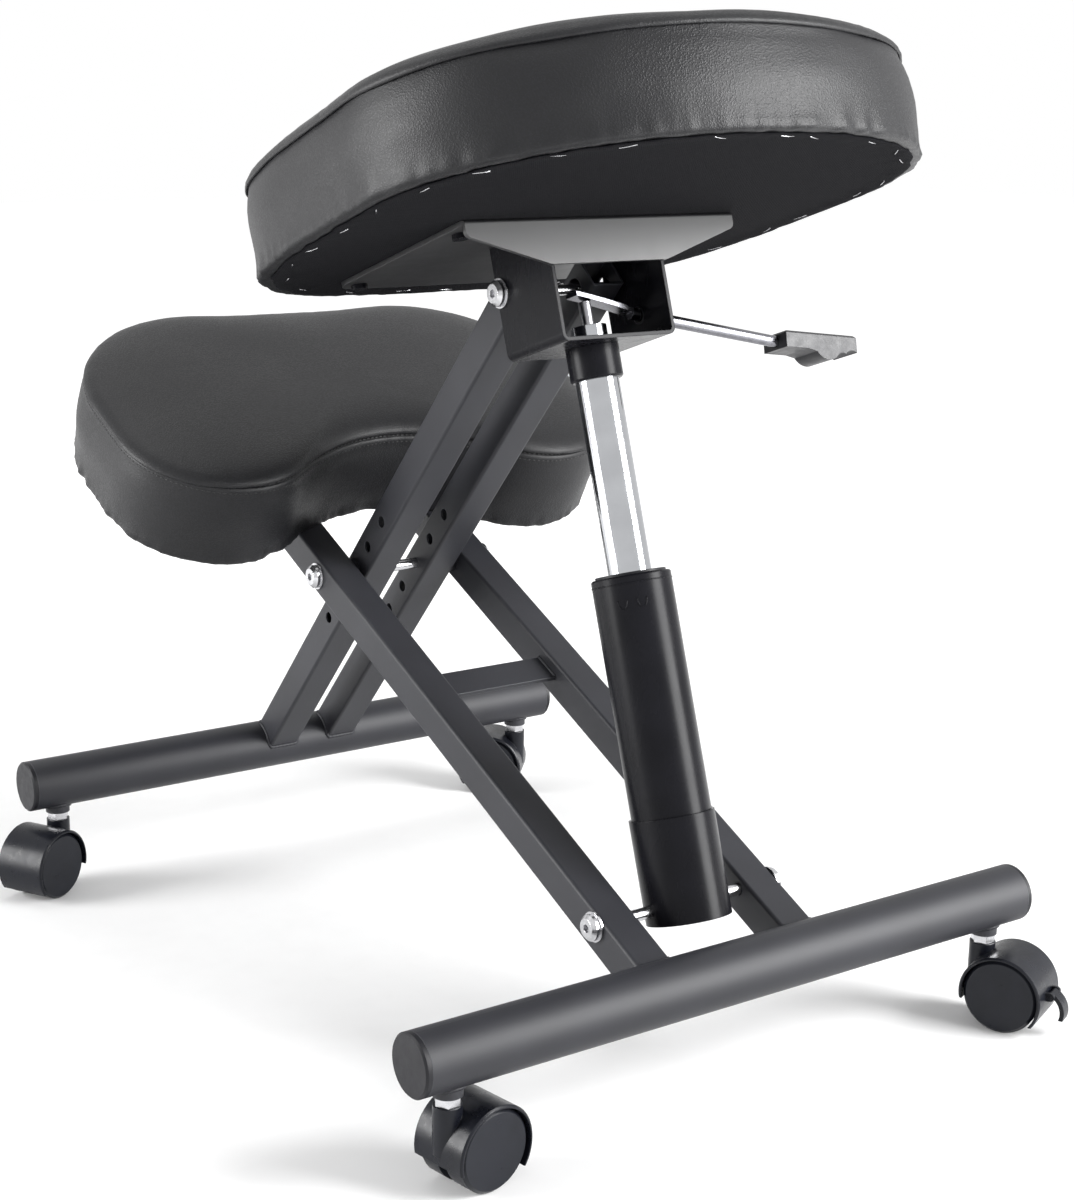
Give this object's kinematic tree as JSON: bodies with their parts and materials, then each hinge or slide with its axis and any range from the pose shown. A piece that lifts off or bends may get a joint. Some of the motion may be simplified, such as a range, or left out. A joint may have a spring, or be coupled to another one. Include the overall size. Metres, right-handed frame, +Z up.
{
  "type": "kneeling chair",
  "caption": "Kneeling chair on crossed square legs: a gas lift raises the tilted seat, a padded knee rest spans the outer legs, and twin-wheel casters carry both base tubes.",
  "frame": {"origin": "on the floor under the middle of the outline", "axes": "+Z up, the sitter faces -Y, the sitter's left is +X"},
  "size_m": [0.5128, 0.6678, 0.6504],
  "materials": {
    "powder": "matte",
    "satin_black": "satin",
    "black_plastic": "matte",
    "caster_plastic": "satin",
    "tread": "satin",
    "chrome": "polished",
    "zinc": "plated",
    "steel": "ground",
    "leather": "satin",
    "wood": "raw",
    "cloth": "matte"
  },
  "bodies": {
    "frame": {"rear_base_tube": "powder", "rear_end_caps": "black_plastic", "rear_caster_nuts": "powder", "rear_caster_stems": "zinc", "outer_leg_left": "powder", "outer_leg_right": "powder", "outer_leg_plugs": "black_plastic", "leg_cross_bar": "powder", "cross_pivot_bolt": "zinc", "cross_pivot_nut": "zinc", "cross_pivot_washers": "black_plastic", "cylinder_pin_bolt": "zinc", "cylinder_pin_nut": "zinc", "knee_board": "wood", "knee_cushion": "leather", "knee_bottom_cloth": "cloth", "knee_screws": "satin_black"},
    "front_frame": {"front_base_tube": "powder", "front_end_caps": "black_plastic", "front_caster_nuts": "powder", "front_caster_stems": "zinc", "inner_leg_left": "powder", "inner_leg_right": "powder"},
    "gas_cylinder": {"cylinder_sleeve": "satin_black", "gas_column": "satin_black", "guide_bush": "black_plastic", "piston_rod": "steel", "thrust_washers": "steel"},
    "seat_unit": {"pressure_tube": "chrome", "taper_collar": "satin_black", "seat_bracket": "satin_black", "seat_plate": "satin_black", "seat_pivot_bolt": "zinc", "seat_pivot_nut": "zinc", "seat_board": "wood", "seat_cushion": "leather", "seat_bottom_cloth": "cloth", "seat_screws": "satin_black", "lever_bush": "black_plastic"},
    "lever": {"lever_rod": "chrome", "lever_handle": "black_plastic"},
    "valve": {"valve_pin": "steel"},
    "rear_left_caster": {"rear_left_hood": "caster_plastic", "rear_left_axle": "steel"},
    "rear_left_wheel_a": {"rear_left_wheel_a": "tread"},
    "rear_left_wheel_b": {"rear_left_wheel_b": "tread"},
    "rear_right_caster": {"rear_right_hood": "caster_plastic", "rear_right_axle": "steel"},
    "rear_right_wheel_a": {"rear_right_wheel_a": "tread"},
    "rear_right_wheel_b": {"rear_right_wheel_b": "tread"},
    "front_left_caster": {"front_left_hood": "caster_plastic", "front_left_axle": "steel"},
    "front_left_wheel_a": {"front_left_wheel_a": "tread"},
    "front_left_wheel_b": {"front_left_wheel_b": "tread"},
    "front_right_caster": {"front_right_hood": "caster_plastic", "front_right_axle": "steel"},
    "front_right_wheel_a": {"front_right_wheel_a": "tread"},
    "front_right_wheel_b": {"front_right_wheel_b": "tread"},
    "rear_right_brake": {"rear_right_brake_lever": "caster_plastic"}
  },
  "joints": [
    {"name": "seat_lift", "type": "slide", "parent": "gas_cylinder", "child": "seat_unit", "axis": [0, -0.3157, 0.9489], "range_m": [-0.1, 0]},
    {"name": "cylinder_tilt", "type": "hinge", "parent": "frame", "child": "gas_cylinder", "pos_m": [-0.0068, 0.21842, 0.10787], "axis": [1, 0, 0], "range_deg": [-7.1, 0]},
    {"name": "leg_fold", "type": "hinge", "parent": "frame", "child": "front_frame", "pos_m": [-0.0068, -0.12548, 0.2592], "axis": [1, 0, 0], "range_deg": [-20.9, 0]},
    {"name": "lever_lift", "type": "hinge", "parent": "seat_unit", "child": "lever", "pos_m": [-0.04905, 0.10351, 0.46368], "axis": [0, 0.9489, 0.3157], "range_deg": [0, 4.75], "stiffness_Nm_per_rad": 1.2, "springref_deg": -2.86},
    {"name": "valve_press", "type": "slide", "parent": "seat_unit", "child": "valve", "axis": [0, 0.3157, -0.9489], "range_m": [0, 0.0035], "stiffness_N_per_m": 1500, "springref_m": -0.001},
    {"name": "rear_left_swivel", "type": "hinge", "parent": "frame", "child": "rear_left_caster", "pos_m": [0.2052, 0.276, 0.055], "axis": [0, 0, 1], "continuous": true},
    {"name": "rear_left_wheel_a_spin", "type": "hinge", "parent": "rear_left_caster", "child": "rear_left_wheel_a", "pos_m": [0.18547, 0.2727, 0.025], "axis": [0.165, -0.9863, 0], "continuous": true},
    {"name": "rear_left_wheel_b_spin", "type": "hinge", "parent": "rear_left_caster", "child": "rear_left_wheel_b", "pos_m": [0.18547, 0.2727, 0.025], "axis": [0.165, -0.9863, 0], "continuous": true},
    {"name": "rear_right_swivel", "type": "hinge", "parent": "frame", "child": "rear_right_caster", "pos_m": [-0.2188, 0.276, 0.055], "axis": [0, 0, 1], "continuous": true},
    {"name": "rear_right_wheel_a_spin", "type": "hinge", "parent": "rear_right_caster", "child": "rear_right_wheel_a", "pos_m": [-0.22693, 0.29427, 0.025], "axis": [-0.9135, -0.4067, 0], "continuous": true},
    {"name": "rear_right_wheel_b_spin", "type": "hinge", "parent": "rear_right_caster", "child": "rear_right_wheel_b", "pos_m": [-0.22693, 0.29427, 0.025], "axis": [-0.9135, -0.4067, 0], "continuous": true},
    {"name": "front_left_swivel", "type": "hinge", "parent": "front_frame", "child": "front_left_caster", "pos_m": [0.2052, -0.282, 0.055], "axis": [0, 0, 1], "continuous": true},
    {"name": "front_left_wheel_a_spin", "type": "hinge", "parent": "front_left_caster", "child": "front_left_wheel_a", "pos_m": [0.22269, -0.2723, 0.025], "axis": [-0.4848, 0.8746, 0], "continuous": true},
    {"name": "front_left_wheel_b_spin", "type": "hinge", "parent": "front_left_caster", "child": "front_left_wheel_b", "pos_m": [0.22269, -0.2723, 0.025], "axis": [-0.4848, 0.8746, 0], "continuous": true},
    {"name": "front_right_swivel", "type": "hinge", "parent": "front_frame", "child": "front_right_caster", "pos_m": [-0.2188, -0.282, 0.055], "axis": [0, 0, 1], "continuous": true},
    {"name": "front_right_wheel_a_spin", "type": "hinge", "parent": "front_right_caster", "child": "front_right_wheel_a", "pos_m": [-0.20394, -0.29538, 0.025], "axis": [0.6691, 0.7431, 0], "continuous": true},
    {"name": "front_right_wheel_b_spin", "type": "hinge", "parent": "front_right_caster", "child": "front_right_wheel_b", "pos_m": [-0.20394, -0.29538, 0.025], "axis": [0.6691, 0.7431, 0], "continuous": true},
    {"name": "rear_right_brake_tilt", "type": "hinge", "parent": "rear_right_caster", "child": "rear_right_brake", "pos_m": [-0.23935, 0.32216, 0.02821], "axis": [-0.9135, -0.4067, 0], "range_deg": [0, 10]}
  ],
  "couplings": [
    {"joint": "cylinder_tilt", "follows": "seat_lift", "rad_per_m": 1.2162},
    {"joint": "leg_fold", "follows": "seat_lift", "rad_per_m": 3.6299},
    {"joint": "valve_press", "follows": "lever_lift", "m_per_rad": 0.04225}
  ]
}
